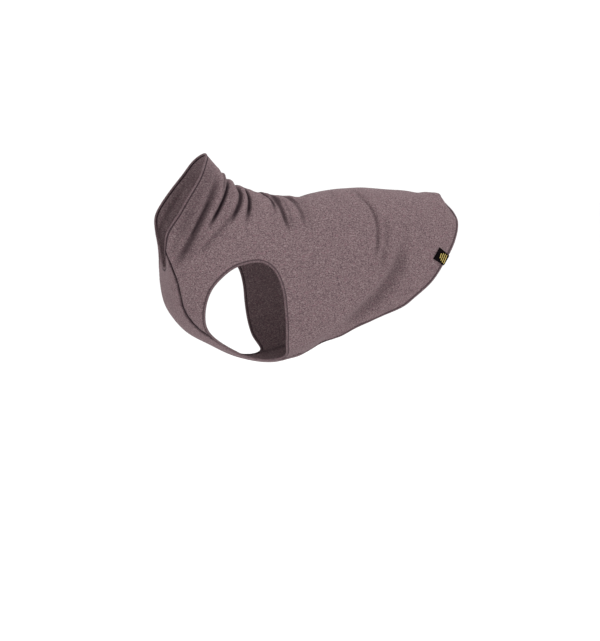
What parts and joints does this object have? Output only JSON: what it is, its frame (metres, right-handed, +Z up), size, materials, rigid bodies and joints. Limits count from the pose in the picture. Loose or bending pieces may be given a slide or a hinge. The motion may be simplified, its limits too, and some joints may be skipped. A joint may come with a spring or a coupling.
{
  "type": "sleeveless high-necked dog fleece jacket, pullover",
  "caption": "Worn, hollow dog fleece pullover with a high neck, open armholes, a chest panel and a long back that curves up from the belly.",
  "frame": {"origin": "inner face of the back panel over the withers, on the centre line, where the wearer holds the jacket up", "axes": "-X towards the head, -Y to the wearer's left, +Z up"},
  "size_m": [0.5441, 0.2002, 0.3604],
  "materials": {
    "fleece": "matte heathered stretch fleece, short soft nap",
    "hem": "matte fleece, turned and stitched",
    "woven_tab": "black woven ribbon"
  },
  "bodies": {
    "root": {"body_panel": "fleece", "chest_panel": "fleece", "neck_hem": "hem", "armhole_hem_left": "hem", "armhole_hem_right": "hem", "skirt_hem": "hem", "tab": "woven_tab"}
  },
  "joints": []
}
